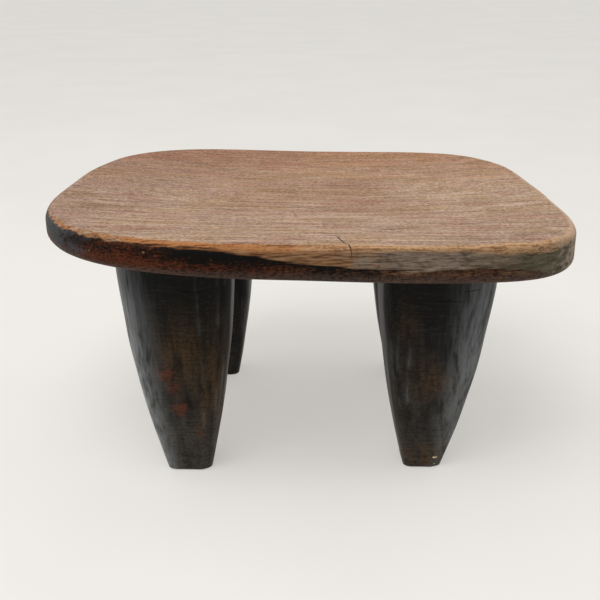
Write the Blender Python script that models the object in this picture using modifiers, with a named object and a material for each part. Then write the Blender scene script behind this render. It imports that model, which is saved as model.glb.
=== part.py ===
"""Carved wooden stool: a saddled slab seat on four stout tapered legs.

Metres, +Z up. X runs along the seat, Y from its front edge to its back edge,
and the feet stand on Z = 0 below the middle of the seat. Each leg has a round
stub tenon on top that goes up into a blind mortise in the seat's underside.
"""

import math
from typing import NamedTuple

import bmesh
import bpy

# Seat plan: each corner is rounded its own way, 2 as an ellipse and more as a squarer corner
SEAT_LENGTH = 0.380
SEAT_DEPTH = 0.320
FRONT_GAIN = 0.0165
BACK_SHIFT = 0.0062
BACK_HOLLOW = 0.0025
FRONT_LEFT_SQUARENESS = 2.95
FRONT_RIGHT_SQUARENESS = 4.55
BACK_LEFT_SQUARENESS = 3.15
BACK_RIGHT_SQUARENESS = 3.6

# Seat height and section
SEAT_HEIGHT = 0.1989
SEAT_THICKNESS = 0.0261
THICKNESS_GAIN = 0.0039
END_THINNING = 0.001
END_RISE = 0.0036
BACK_RISE = 0.0032
END_TILT = 0.0044
CORNER_TWIST = 0.0011
DISH_DEPTH = 0.004
RIM_ROUNDING = 0.007

# Legs, all four
LEG_TOP_WIDTH = 0.085
LEG_SWELL = 0.0042
LEG_TOP_SQUARENESS = 3.3
FOOT_SQUARENESS = 6.0
FOOT_CHAMFER = 0.0015

# Tenons and the mortises that take them
TENON_DIAMETER = 0.036
MORTISE_DEPTH = 0.013
FIT_CLEARANCE = 0.0003

# Fineness of the facets
SEAT_SPOKES = 96
SEAT_RINGS = 9
RIM_SEGMENTS = 4
LEG_SIDES = 32
LEG_RINGS = 12
CREASE_ANGLE = math.radians(40.0)
RIM_ANGLE = math.radians(60.0)
WELD_DISTANCE = 0.0001

# Finish of the wood: colour and roughness
SEAT_COLOR = (0.35, 0.235, 0.16, 1.0)
SEAT_ROUGHNESS = 0.55
LEG_COLOR = (0.016, 0.013, 0.012, 1.0)
LEG_ROUGHNESS = 0.5


class Leg(NamedTuple):
    """One leg: its corner, its insets from the seat's end and edge, its toe-in, and its foot's width."""

    side: int
    row: int
    inset_x: float
    inset_y: float
    toe_in_x: float
    toe_in_y: float
    foot_width: float


# side is -1 on the left and 1 on the right, row is -1 at the front and 1 at the back
LEGS = {
    "leg_front_left": Leg(
        side=-1, row=-1, inset_x=0.0925, inset_y=0.0715, toe_in_x=0.004, toe_in_y=0.003, foot_width=0.034
    ),
    "leg_front_right": Leg(
        side=1, row=-1, inset_x=0.0965, inset_y=0.0675, toe_in_x=0.006, toe_in_y=0.0045, foot_width=0.029
    ),
    "leg_back_left": Leg(
        side=-1, row=1, inset_x=0.1005, inset_y=0.0675, toe_in_x=0.010, toe_in_y=0.003, foot_width=0.032
    ),
    "leg_back_right": Leg(
        side=1, row=1, inset_x=0.0885, inset_y=0.0715, toe_in_x=0.007, toe_in_y=0.003, foot_width=0.032
    ),
}

STOOL_NAME = "carved_stool"


def squared_circle(across, along, squareness):
    """Point of a rounded square of half width 1, in the direction of the point given."""
    size = (abs(across) ** squareness + abs(along) ** squareness) ** (1.0 / squareness)
    return across / size, along / size


def corner_squareness(across, along):
    """Squareness of the seat's corner on that side of its middle."""
    if along < 0.0:
        return FRONT_LEFT_SQUARENESS if across < 0.0 else FRONT_RIGHT_SQUARENESS
    return BACK_LEFT_SQUARENESS if across < 0.0 else BACK_RIGHT_SQUARENESS


def seat_plan(u, v):
    """Plan position in the seat of a point of a disc of radius 1."""
    reach = math.hypot(u, v)
    if reach == 0.0:
        return 0.0, 0.0
    across, along = squared_circle(u / reach, v / reach, corner_squareness(u, v))
    half_length = SEAT_LENGTH / 2.0 - FRONT_GAIN * along * reach
    half_depth = SEAT_DEPTH / 2.0
    if along > 0.0:
        half_depth -= BACK_HOLLOW * (1.0 - across ** 2) ** 2
    x = across * reach * half_length + BACK_SHIFT * along * reach
    y = along * reach * half_depth
    return x, y


def seat_middle():
    """Plan position of the middle of the box around the seat's outline."""
    turns = [2.0 * math.pi * index / SEAT_SPOKES for index in range(SEAT_SPOKES)]
    outline = [seat_plan(math.cos(turn), math.sin(turn)) for turn in turns]
    return tuple((min(places) + max(places)) / 2.0 for places in zip(*outline))


def rim_height(x, y):
    """Height of the saddle that the rim follows: the ends rise, the left and the back of them more."""
    across = x / (SEAT_LENGTH / 2.0)
    along = y / (SEAT_DEPTH / 2.0)
    saddle = (END_RISE + BACK_RISE * along) * across ** 2
    return SEAT_HEIGHT + saddle - END_TILT * across - CORNER_TWIST * across * along


def underside_height(x, y):
    """Height of the seat's underside: the slab is thicker towards its right end and thins at both."""
    across = x / (SEAT_LENGTH / 2.0)
    thickness = SEAT_THICKNESS + THICKNESS_GAIN * across - END_THINNING * across ** 2
    return rim_height(x, y) - thickness


def leg_top(leg):
    """Plan position of the leg's middle where it meets the seat."""
    x = leg.side * (SEAT_LENGTH / 2.0 - leg.inset_x)
    y = leg.row * (SEAT_DEPTH / 2.0 - leg.inset_y)
    return x, y


def leg_foot(leg):
    """Plan position of the leg's middle on the floor, drawn in towards the stool's middle."""
    x, y = leg_top(leg)
    return x - leg.side * leg.toe_in_x, y - leg.row * leg.toe_in_y


def mortise_top(leg):
    """Height of the blind end of the leg's mortise."""
    return underside_height(*leg_top(leg)) + MORTISE_DEPTH


def wood(name, color, roughness):
    """Plain wood material."""
    material = bpy.data.materials.new(name)
    material.use_nodes = True
    shader = material.node_tree.nodes["Principled BSDF"]
    shader.inputs["Base Color"].default_value = color
    shader.inputs["Roughness"].default_value = roughness
    shader.inputs["Metallic"].default_value = 0.0
    return material


def add_object(name, bm, collection, location, parent=None, material=None):
    """Object made from the bmesh, whose points are given from the object's own origin."""
    mesh = bpy.data.meshes.new(name)
    bm.to_mesh(mesh)
    bm.free()
    mesh.shade_smooth()
    mesh.set_sharp_from_angle(angle=CREASE_ANGLE)
    if material is not None:
        mesh.materials.append(material)
    part = bpy.data.objects.new(name, mesh)
    part.location = location
    part.parent = parent
    collection.objects.link(part)
    return part


def make_mortise_cutters(collection, parent):
    """One cylinder for each mortise, standing out below the seat so that it cuts its mouth open."""
    length = MORTISE_DEPTH + SEAT_THICKNESS
    radius = TENON_DIAMETER / 2.0 + FIT_CLEARANCE
    for name, leg in LEGS.items():
        bm = bmesh.new()
        bmesh.ops.create_cone(
            bm, cap_ends=True, segments=LEG_SIDES, radius1=radius, radius2=radius, depth=length
        )
        x, y = leg_top(leg)
        middle = (x, y, mortise_top(leg) - length / 2.0)
        cutter = add_object("mortise_" + name, bm, collection, middle, parent)
        cutter.hide_render = True
        cutter.display_type = "WIRE"


def seat_disc():
    """Disc of radius 1 and height 1: half its section, turned about the middle."""
    bm = bmesh.new()
    shares = [ring / SEAT_RINGS for ring in range(SEAT_RINGS + 1)]
    section = [bm.verts.new((share, 0.0, 0.0)) for share in shares]
    section += [bm.verts.new((share, 0.0, 1.0)) for share in reversed(shares)]
    lines = [bm.edges.new(ends) for ends in zip(section, section[1:])]
    bmesh.ops.spin(
        bm, geom=section + lines, axis=(0.0, 0.0, 1.0), angle=2.0 * math.pi, steps=SEAT_SPOKES, use_merge=True
    )
    bmesh.ops.remove_doubles(bm, verts=bm.verts[:], dist=WELD_DISTANCE)
    return bm


def make_seat(collection, cutters, parent, material):
    """Disc laid over the plan and drawn to the slab's heights, its rim rounded and the mortises cut."""
    bm = seat_disc()
    for point in bm.verts:
        u, v, level = point.co
        x, y = seat_plan(u, v)
        if level > 0.5:
            z = rim_height(x, y) - DISH_DEPTH * (1.0 - u ** 2 - v ** 2)
        else:
            z = underside_height(x, y)
        point.co = (x, y, z - SEAT_HEIGHT)
    bmesh.ops.recalc_face_normals(bm, faces=bm.faces[:])
    seat = add_object("seat", bm, collection, (0.0, 0.0, SEAT_HEIGHT), parent, material)

    rounding = seat.modifiers.new("rim_rounding", "BEVEL")
    rounding.width = RIM_ROUNDING
    rounding.segments = RIM_SEGMENTS
    rounding.limit_method = "ANGLE"
    rounding.angle_limit = RIM_ANGLE

    mortises = seat.modifiers.new("mortises", "BOOLEAN")
    mortises.operation = "DIFFERENCE"
    mortises.solver = "EXACT"
    mortises.operand_type = "COLLECTION"
    mortises.collection = cutters
    return seat


def leg_ring(bm, leg, share, inset=0.0):
    """Ring of points around the leg at a share of its height, 0 on the floor and 1 at the seat."""
    foot_x, foot_y = leg_foot(leg)
    top_x, top_y = leg_top(leg)
    half_foot = leg.foot_width / 2.0
    half_top = LEG_TOP_WIDTH / 2.0
    half_width = half_foot + (half_top - half_foot) * share + LEG_SWELL * 4.0 * share * (1.0 - share)
    squareness = FOOT_SQUARENESS + (LEG_TOP_SQUARENESS - FOOT_SQUARENESS) * share
    ring = []
    for index in range(LEG_SIDES):
        angle = 2.0 * math.pi * index / LEG_SIDES
        across, along = squared_circle(math.cos(angle), math.sin(angle), squareness)
        seat_x = top_x + across * half_top
        seat_y = top_y + along * half_top
        shoulder = underside_height(seat_x, seat_y) - FIT_CLEARANCE
        x = foot_x + (top_x - foot_x) * share + across * (half_width - inset)
        y = foot_y + (top_y - foot_y) * share + along * (half_width - inset)
        ring.append(bm.verts.new((x - foot_x, y - foot_y, share * shoulder)))
    return ring


def tenon_ring(bm, leg, height=None):
    """Ring of points around the tenon: at the height given, or else on the leg's shoulder."""
    foot_x, foot_y = leg_foot(leg)
    top_x, top_y = leg_top(leg)
    ring = []
    for index in range(LEG_SIDES):
        angle = 2.0 * math.pi * index / LEG_SIDES
        x = top_x + math.cos(angle) * TENON_DIAMETER / 2.0
        y = top_y + math.sin(angle) * TENON_DIAMETER / 2.0
        z = underside_height(x, y) - FIT_CLEARANCE if height is None else height
        ring.append(bm.verts.new((x - foot_x, y - foot_y, z)))
    return ring


def skin(bm, lower, upper):
    """Faces between two rings of as many points."""
    for index in range(len(lower)):
        following = (index + 1) % len(lower)
        bm.faces.new((lower[index], lower[following], upper[following], upper[index]))


def make_leg(name, leg, collection, parent, material):
    """Loft from the flat foot up to the shoulder under the seat, with the tenon on top."""
    bm = bmesh.new()
    height = underside_height(*leg_top(leg))
    rings = [leg_ring(bm, leg, 0.0, FOOT_CHAMFER), leg_ring(bm, leg, FOOT_CHAMFER / height)]
    rings += [leg_ring(bm, leg, step / LEG_RINGS) for step in range(1, LEG_RINGS + 1)]
    rings += [tenon_ring(bm, leg), tenon_ring(bm, leg, mortise_top(leg) - FIT_CLEARANCE)]
    for lower, upper in zip(rings, rings[1:]):
        skin(bm, lower, upper)
    bm.faces.new(reversed(rings[0]))
    bm.faces.new(rings[-1])
    foot_x, foot_y = leg_foot(leg)
    return add_object(name, bm, collection, (foot_x, foot_y, 0.0), parent, material)


def new_collection(name):
    """Collection in the scene."""
    collection = bpy.data.collections.new(name)
    bpy.context.scene.collection.children.link(collection)
    return collection


def main():
    """Clear the scene and make the stool."""
    for item in list(bpy.data.objects):
        bpy.data.objects.remove(item, do_unlink=True)

    stool = new_collection(STOOL_NAME)
    cutters = new_collection("mortise_cutters")
    stand = bpy.data.objects.new(STOOL_NAME + "_origin", None)
    middle_x, middle_y = seat_middle()
    stand.location = (-middle_x, -middle_y, 0.0)
    stool.objects.link(stand)

    seat_wood = wood("worn_brown_wood", SEAT_COLOR, SEAT_ROUGHNESS)
    leg_wood = wood("black_stained_wood", LEG_COLOR, LEG_ROUGHNESS)
    make_mortise_cutters(cutters, stand)
    make_seat(stool, cutters, stand, seat_wood)
    for name, leg in LEGS.items():
        make_leg(name, leg, stool, stand, leg_wood)


main()
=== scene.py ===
"""Carved wooden stool: a worn, saddled seat on four knife-cut legs stained near black.

Metres, +Z up. X runs along the seat, Y from its front edge to its back edge, and
the feet stand on Z = 0. The grain of the block runs along X through seat and legs.
"""

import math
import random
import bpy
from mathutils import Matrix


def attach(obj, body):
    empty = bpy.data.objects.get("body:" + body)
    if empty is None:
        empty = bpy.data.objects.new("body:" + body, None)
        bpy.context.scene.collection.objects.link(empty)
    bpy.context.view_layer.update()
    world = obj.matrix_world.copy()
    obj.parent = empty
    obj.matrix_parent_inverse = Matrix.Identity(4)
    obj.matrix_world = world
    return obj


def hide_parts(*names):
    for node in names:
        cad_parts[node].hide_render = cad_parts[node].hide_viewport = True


bl_info = {
    "name": "Carved Stool",
    "version": (1, 0, 0),
    "blender": (4, 5, 0),
    "location": "3D View > Sidebar > Stool",
    "description": "Carved wooden stool with a worn seat and black-stained, knife-cut legs",
    "category": "Object",
}

from types import SimpleNamespace
from typing import NamedTuple

import bmesh
import bpy
import numpy as np
from mathutils import Matrix, Vector, kdtree, noise

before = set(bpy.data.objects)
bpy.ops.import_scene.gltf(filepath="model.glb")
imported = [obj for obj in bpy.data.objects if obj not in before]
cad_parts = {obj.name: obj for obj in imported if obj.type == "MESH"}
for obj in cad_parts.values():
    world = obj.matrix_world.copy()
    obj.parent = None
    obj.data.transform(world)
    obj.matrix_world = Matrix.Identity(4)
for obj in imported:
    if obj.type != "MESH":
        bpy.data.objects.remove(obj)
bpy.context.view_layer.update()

MM = 0.001

# Seat plan: how its front and back differ, and the squareness of its corners, 2 being an ellipse
FRONT_GAIN = 0.0165
BACK_SHIFT = 0.0062
BACK_HOLLOW = 0.0025
FRONT_LEFT_SQUARENESS = 2.95
FRONT_RIGHT_SQUARENESS = 4.55
BACK_LEFT_SQUARENESS = 3.15
BACK_RIGHT_SQUARENESS = 3.6

# Seat section: how its saddle and its thickness change from end to end
THICKNESS_GAIN = 0.0039
END_THINNING = 0.001
END_RISE = 0.0036
BACK_RISE = 0.0032
END_TILT = 0.0044
CORNER_TWIST = 0.0011

# Leg section, and the joint of leg and seat
LEG_TOP_SQUARENESS = 3.3
FOOT_SQUARENESS = 6.0
FOOT_CHAMFER = 0.0015
TENON_DIAMETER = 0.036
MORTISE_DEPTH = 0.013
FIT_CLEARANCE = 0.0003

# Marks of the tools: how far a worked face waves, and over what length
TOP_WAVE = 0.0004
TOP_WAVE_PITCH = 0.070
TOP_WAVE_FADE = 0.020
SIDE_WAVE = 0.0007
SIDE_WAVE_PITCH = 0.050
FINE_WAVE_SHARE = 0.4
FINE_WAVES = 3.0
ADZE_BITE = 0.0006
ADZE_PITCH = 0.022
BITE_REACH = 0.8
KNIFE_WAVE = 0.00045
KNIFE_PITCH = 0.034

# Facets of a leg: their turns in each quarter and how far these sway, in degrees, and how keen they are
FACET_STEPS = (0.0, 22.0, 45.0, 68.0)
FACET_SWAY = 4.0
FACET_SHARPNESS = 70.0
FACET_EDGE = 0.00035
FACET_SEED_STEP = 0.37

# Rounding of the seat's rim: how unevenly it is worn, and where the front edge turns crisp
ROUNDING_SPREAD = 0.22
UPPER_ROUNDING_PITCH = 0.045
LOWER_ROUNDING_PITCH = 0.060
CRISP_SHARE = 0.45
CRISP_RANGE = (-0.05, 0.06)

# Seeds of the waves, and how far a seed moves the noise
UPPER_SEED = 3
LOWER_SEED = 5
TOP_SEED = 7
SIDE_SEED = 11
FINE_SEED = 13
ADZE_SEED = 17
RIPPLE_SHIFT = (1.7, 2.9, 4.3)
BITE_SHIFT = (3.1, 1.3, 0.0)

# Fineness of the meshes
SEAT_SPOKES = 480
TOP_ROWS = 70
TOP_ROW_SPREAD = 0.9
ARC_ROWS = 10
SIDE_ROWS = 12
UNDER_ROWS = 50
LEG_SIDES = 240
LEG_ROWS = 130
JOINT_SIDES = 64
CREASE_ANGLE = math.radians(38.0)

# Cutters of cracks and chips: how far they stand out of the face, and how unevenly they cut
CUTTER_LIFT = 0.001
GROOVE_STEP = 0.002
GROOVE_WOBBLE = 0.00025
GROOVE_SPREAD = (0.75, 1.15)
GROOVE_END = 0.08
GROOVE_FADE = 0.6
CHIP_CORNERS = 9
CHIP_SPREAD = (0.75, 1.2)
CHIP_FLOOR = 0.55
CHIP_DEPTHS = (0.6, 1.0)

# Patterns: the size of their blots in millimetres along X, Y and Z, and their detail. The grain runs
# along X. Real fibres, pores and grit are some tenths of a millimetre wide: they are too fine to show in the
# render, and are drawn as coarse as they need to show.
PATTERNS = {
    "fibre": ((2.6, 1.1, 1.1), 2.0),
    "streak": ((20.0, 1.8, 1.8), 2.0),
    "line": ((60.0, 1.8, 1.8), 2.0),
    "ring": ((100.0, 4.5, 4.5), 2.0),
    "zone": ((50.0, 18.0, 18.0), 2.0),
    "swirl": ((14.0, 12.0, 12.0), 2.0),
    "pores": ((6.0, 1.1, 1.1), 2.0),
    "band": ((14.0, 20.0, 1.2), 3.0),
    "ragged": ((30.0, 4.0, 1.8), 4.0),
    "mottle": ((12.0, 6.0, 6.0), 4.0),
    "speck": ((4.0, 2.2, 2.2), 3.0),
    "stroke": ((6.0, 6.0, 80.0), 4.0),
    "cloud": ((20.0, 20.0, 30.0), 4.0),
    "grit": ((1.6, 1.6, 1.6), 4.0),
    "smudge": ((4.0, 4.0, 7.0), 4.0),
    "nick": ((2.2, 2.2, 30.0), 2.0),
    "crumbs": ((1.2, 1.2, 1.2), 2.0),
    "torn": ((4.0, 0.5, 0.5), 2.0),
    "paper": ((250.0, 250.0, 250.0), 2.0),
}
TOP_GRAIN = ("fibre", "streak", "line", "ring", "zone", "pores")
EDGE_GRAIN = ("band", "ragged", "mottle", "speck")
LEG_GRAIN = ("stroke", "fibre", "streak", "line", "cloud", "grit", "smudge", "nick")
PATTERN_ROUGHNESS = 0.6
NOISE_MIDDLE = (0.5, 0.5, 0.5)

# Surfaces: their roughness, how much smoother raised grain is, the depth of its relief, and gloss
SEAT_ROUGHNESS = 0.70
LEG_ROUGHNESS = 0.58
DIRT_ROUGHNESS = 0.85
TORN_ROUGHNESS = 0.70
PAPER_ROUGHNESS = 0.85
GRAIN_POLISH = 0.25
RELIEF_DEPTH = 0.0002
SEAT_IOR = 1.45
SEAT_GLOSS = 0.08
LEG_IOR = 1.5
LEG_GLOSS = 0.1

# Wear of the seat's edge in millimetres: x along the front, and how far below the start of the rounding
STAIN_LINE = (
    (-190, 5.5), (-150, 6), (-136, 6.4), (-105, 7.2), (-90, 7.0), (-73, 6.9), (-62, 7.6), (-53, 8.9),
    (-33, 11.5), (-7, 14.5), (26, 17.5), (60, 18.8), (80, 19.5), (92, 18.5), (112, 16.5), (150, 22),
    (170, 28),
)
STRIP_LINE = (
    (-190, 5), (-140, 6), (-106, 8.5), (-33, 8.5), (-7, 7.4), (26, 6.7), (59, 6), (100, 5.5), (132, 8.5),
    (160, 10), (175, 9), (190, 7),
)
STRIP_START = (
    (-190, 3), (-150, 2.5), (-110, 1.5), (-60, 2.2), (0, 2.0), (30, 0.5), (115, 0.5), (150, 1.8), (190, 1),
)
BACK_STAIN_LINE = 6.0
BACK_STRIP_LINE = -3.0
RIM_BAND = 5.0

# How far the wear of the front reaches round the two ends, and how soon the slivers on the rim end there
RIGHT_END_WEAR = 0.8
LEFT_END_WEAR = 2.0
SLIVER_FADE = 4

# How thin the stain is along the front, 0 being usual, and how much thinner where the edge turns under
STAIN_THINNESS = (
    (-190, -0.1), (-165, -0.05), (-148, 0.20), (-125, 0.30), (-105, 0.10), (-85, -0.05), (-72, -0.20),
    (-50, -0.20), (-15, 0.0), (5, -0.25), (35, -0.25), (60, 0.10), (160, 0.10),
)
LOW_THINNESS = 0.45
LOW_RANGE = (13.0, 20.0)

# Knots of the seat: plan of each one's middle and its reach along the grain, and how far the grain strays
KNOTS = ((-0.145, 0.002, 0.038), (-0.072, -0.018, 0.030), (0.130, 0.020, 0.030))
KNOT_FLATNESS = 0.6
KNOT_SWIRL = 0.050
GRAIN_WANDER = 0.0007

# Wear of the legs: width in degrees of the grey corner, which is rubbed stain and a painted sheen, its
# middle height, and how fast a patch fades
CORNER_SPREAD = 20.0
CORNER_MIDDLE = 0.09
PATCH_FADE = 4.0

# Layers of wear and grain that are painted on the seat and on the legs
SEAT_LAYERS = ("drop", "bare", "bright", "thin", "facing", "figure")
LEG_LAYERS = ("red", "brown", "corner", "edge")

# Studio: a pale sheet over a table, a soft panel above its front, pale light from the back and the sides
SHEET_WIDTH = 12.0
SHEET_ROWS = (12.0, 2.0, 0.5)
SHEET_FRONT = -0.285
SHEET_BEND = 0.08
SHEET_BEND_ROWS = 9
SHEET_DROP = 0.5
PAPER_GLOW = 0.5
PANEL_PLACE = (-0.5, -1.1, 2.2)
PANEL_AIM = (0.0, 0.0, 0.1)
PANEL_SIZE = 1.6
PANEL_POWER = 36.0
SKY_FRONT = 0.05
SKY_BACK = 0.75
SKY_DIM_UNTIL = -0.7
SKY_FULL_FROM = 0.1
SKY_SEEN = 0.85
CAMERA_TARGET = Vector((-0.00525, 0.00151, 0.10255))
CAMERA_DISTANCE = 0.807769
CAMERA_AZIMUTH = -0.012
CAMERA_ELEVATION = 0.353
CAMERA_ROLL = -0.005
CAMERA_LENS = 57.35
SENSOR_WIDTH = 36.0


class Leg(NamedTuple):
    """One leg: its corner, its insets from the seat's end and edge, its toe-in, foot, cuts and wear.

    side is -1 on the left and 1 on the right, row is -1 at the front and 1 at the back, and cuts is the
    seed of the facets. rubbed is the turn in degrees, from the leg's outer side towards the front, of the
    corner that is painted grey, as rubbed stain and a painted sheen, and corner_sheen_and_wear how strongly
    it is painted at its foot, middle and top, from 0 to 1.
    """

    side: int
    row: int
    inset_x: float
    inset_y: float
    toe_in_x: float
    toe_in_y: float
    foot_width: float
    cuts: int
    rubbed: float
    corner_sheen_and_wear: tuple


LEGS = {
    "leg_front_left": Leg(
        side=-1, row=-1, inset_x=0.0925, inset_y=0.0715, toe_in_x=0.004, toe_in_y=0.003,
        foot_width=0.034, cuts=11, rubbed=40.0, corner_sheen_and_wear=(0.80, 0.98, 0.66),
    ),
    "leg_front_right": Leg(
        side=1, row=-1, inset_x=0.0965, inset_y=0.0675, toe_in_x=0.006, toe_in_y=0.0045,
        foot_width=0.029, cuts=12, rubbed=53.0, corner_sheen_and_wear=(0.15, 0.70, 0.90),
    ),
    "leg_back_left": Leg(
        side=-1, row=1, inset_x=0.1005, inset_y=0.0675, toe_in_x=0.010, toe_in_y=0.003,
        foot_width=0.032, cuts=13, rubbed=45.0, corner_sheen_and_wear=(0.80, 0.95, 0.80),
    ),
    "leg_back_right": Leg(
        side=1, row=1, inset_x=0.0885, inset_y=0.0715, toe_in_x=0.007, toe_in_y=0.003,
        foot_width=0.032, cuts=14, rubbed=45.0, corner_sheen_and_wear=(0.80, 0.95, 0.80),
    ),
}


class Groove(NamedTuple):
    """Crack in the wood: the points that it runs through, and its width and depth."""

    piece: str
    route: tuple
    width: float
    depth: float


GROOVES = (
    Groove(
        "seat",
        ((0.009, -0.1284, 0.198), (0.0182, -0.1309, 0.198), (0.0223, -0.1492, 0.198),
         (0.0265, -0.157, 0.196), (0.0266, -0.1585, 0.1926), (0.0266, -0.1588, 0.1895)),
        width=0.0012, depth=0.003,
    ),
    Groove("seat", ((-0.0146, -0.0287, 0.195), (-0.0055, -0.0993, 0.195)), width=0.0005, depth=0.0006),
    Groove("seat", ((-0.0266, -0.0674, 0.195), (-0.0132, -0.0635, 0.195)), width=0.0010, depth=0.0008),
    Groove(
        "seat", ((0.045, -0.1104, 0.196), (0.056, -0.1118, 0.196), (0.067, -0.1131, 0.196)),
        width=0.0016, depth=0.003,
    ),
    Groove(
        "leg_front_left", ((-0.093, -0.129, 0.1585), (-0.084, -0.128, 0.1575), (-0.072, -0.126, 0.157)),
        width=0.0010, depth=0.003,
    ),
    Groove(
        "leg_front_right", ((0.085, -0.132, 0.1503), (0.097, -0.132, 0.1497), (0.109, -0.131, 0.1495)),
        width=0.0010, depth=0.003,
    ),
    Groove(
        "leg_front_right", ((0.107, -0.132, 0.1572), (0.113, -0.131, 0.158), (0.119, -0.130, 0.1583)),
        width=0.0009, depth=0.003,
    ),
)


class Chip(NamedTuple):
    """Flake knocked out of a face: its middle, width, height and depth."""

    piece: str
    place: tuple
    width: float
    height: float
    depth: float


CHIPS = (
    Chip("leg_front_right", (0.0972, -0.1046, 0.0112), 0.0052, 0.0032, 0.0011),
    Chip("leg_front_right", (0.0972, -0.1025, 0.0042), 0.0018, 0.0017, 0.0006),
    Chip("seat", (-0.1108, -0.1507, 0.1935), 0.0026, 0.0030, 0.0008),
    Chip("seat", (-0.1495, -0.1358, 0.1906), 0.0022, 0.0024, 0.0007),
)


class Patch(NamedTuple):
    """Place on a leg where the stain is worn: its kind, middle, width, height and strength."""

    piece: str
    kind: str
    place: tuple
    width: float
    height: float
    strength: float


PATCHES = (
    Patch("leg_front_left", "red", (-0.1045, -0.120, 0.0905), 0.016, 0.016, 1.0),
    Patch("leg_front_left", "red", (-0.0958, -0.1147, 0.0595), 0.014, 0.015, 1.0),
    Patch("leg_front_left", "red", (-0.100, -0.118, 0.080), 0.014, 0.022, 0.5),
    Patch("leg_front_left", "red", (-0.083, -0.112, 0.040), 0.012, 0.022, 0.45),
    Patch("leg_front_left", "brown", (-0.090, -0.122, 0.105), 0.050, 0.060, 0.8),
    Patch("leg_front_left", "brown", (-0.070, -0.115, 0.080), 0.032, 0.090, 1.0),
    Patch("leg_front_right", "brown", (0.068, -0.127, 0.130), 0.018, 0.036, 0.4),
    Patch("leg_front_right", "red", (0.096, -0.121, 0.080), 0.030, 0.028, 0.4),
    Patch("leg_front_right", "brown", (0.088, -0.121, 0.085), 0.040, 0.035, 0.6),
    Patch("leg_front_right", "brown", (0.088, -0.106, 0.012), 0.040, 0.026, 1.0),
)


def hex_color(code):
    """Linear colour with full alpha from an sRGB hex code such as #a58a74."""
    shares = [int(code[start:start + 2], 16) / 255.0 for start in (1, 3, 5)]
    return tuple(s / 12.92 if s <= 0.04045 else ((s + 0.055) / 1.055) ** 2.4 for s in shares) + (1.0,)


def length(name, description, default):
    """Property for a length in metres."""
    return bpy.props.FloatProperty(
        name=name, description=description, default=default, min=0.0, precision=4, unit="LENGTH",
    )


def colour(name, description, code):
    """Property for a colour, given as an sRGB hex code."""
    return bpy.props.FloatVectorProperty(
        name=name, description=description, default=hex_color(code), size=4,
        min=0.0, max=1.0, subtype="COLOR",
    )


class StoolSizes(bpy.types.PropertyGroup):
    """Sizes of the stool."""

    seat_length: length("Seat length", "Length of the seat along its middle", 0.380)
    seat_depth: length("Seat depth", "Depth of the seat from front to back", 0.320)
    seat_height: length("Seat height", "Height of the rim above the floor", 0.1989)
    seat_thickness: length("Seat thickness", "Thickness of the slab in the middle", 0.0261)
    dish_depth: length("Dish depth", "How far the seat is hollowed below its rim", 0.004)
    rim_rounding: length("Rim rounding", "Radius of the seat's worn edges", 0.007)
    leg_top_width: length("Leg width", "Width of a leg under the seat", 0.085)
    leg_swell: length("Leg swell", "How far a leg bulges beyond a straight taper", 0.0042)


class StoolColours(bpy.types.PropertyGroup):
    """Colours of the wood, its stain and the stage."""

    top_light: colour("Seat, pale fibres", "Pale fibres of the worn top", "#d0b59d")
    top_dark: colour("Seat, dark fibres", "Dark fibres of the worn top", "#8f735e")
    top_tan: colour("Seat, tan tint", "Tint of the tan zones of the worn top", "#f3ebda")
    top_pink: colour("Seat, pink tint", "Tint of the pink zones of the worn top", "#f3e3de")
    top_red: colour("Seat, red tint", "Tint of the worn top towards the back edge", "#eecdb2")
    top_shade: colour("Seat, dull tint", "Tint of the worn top to the left and the front", "#e8e3e6")
    top_dish: colour("Seat, dish tint", "Tint of the worn top in the middle of its dish", "#ebe1da")
    pore: colour("Seat, pores", "Dirt in the open pores", "#6a5143")
    rim_tan: colour("Rim, polished wood", "Wood rubbed bright along the rim", "#d0a67c")
    rim_brown: colour("Rim, dark fibres", "Dark fibres of the polished rim", "#956a48")
    rim_shade: colour("Rim, left tint", "Tint of the polished rim on the left", "#e4c4a6")
    band_wood: colour("Band, weathered wood", "Bare wood on the right of the seat's edge", "#b29d8a")
    band_dark: colour("Band, dark fibres", "Dark fibres of the weathered band", "#625143")
    olive: colour("Band, olive wood", "Weathered wood towards the right end", "#7f775f")
    olive_dark: colour("Band, dark olive fibres", "Dark fibres towards the right end", "#4c4735")
    stain: colour("Stain", "Black stain at its thickest", "#0f0e0c")
    # on the legs, the stain's thin tone towards the foot is partly painted floor light
    stain_thin: colour("Stain, thin", "Stain where it is thin", "#4c4741")
    stain_brown: colour("Stain, brown", "Stain where brown wood shows through", "#644532")
    # lighter along the seat's lower rounding: stain rubbed thin there, and a painted bounce of floor light
    lower_edge_wear_and_bounce: colour("Stain, lower edge", "Stain rubbed thin along the seat's lower edge", "#6f5c52")
    leg_brown: colour("Legs, brown", "Brown wood that shows through the stain of the legs", "#5a4327")
    # rubbed grey on leg corners and cut edges; a painted sheen on those corners and the seat's left end
    grey_wear_and_sheen: colour("Stain, rubbed grey", "Stain rubbed grey on corners and the left end", "#979b9c")
    stain_red: colour("Stain, worn", "Red wood where the stain is rubbed off", "#683824")
    crack: colour("Crack", "Dirt in the cracks", "#2a1d15")
    chip: colour("Chip", "Fresh wood in a chip", "#fff0cf")
    old_chip: colour("Chip, old", "Dirty wood in an old chip", "#a08468")
    floor: colour("Floor", "Pale studio floor", "#f5f2ec")
    floor_mottle: colour("Floor, mottle", "Faint mottle of the studio floor", "#b4b2ae")


def squared_circle(across, along, squareness):
    """Points of a rounded square of half width 1, in the directions given."""
    size = (np.abs(across) ** squareness + np.abs(along) ** squareness) ** (1.0 / squareness)
    return across / size, along / size


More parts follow.
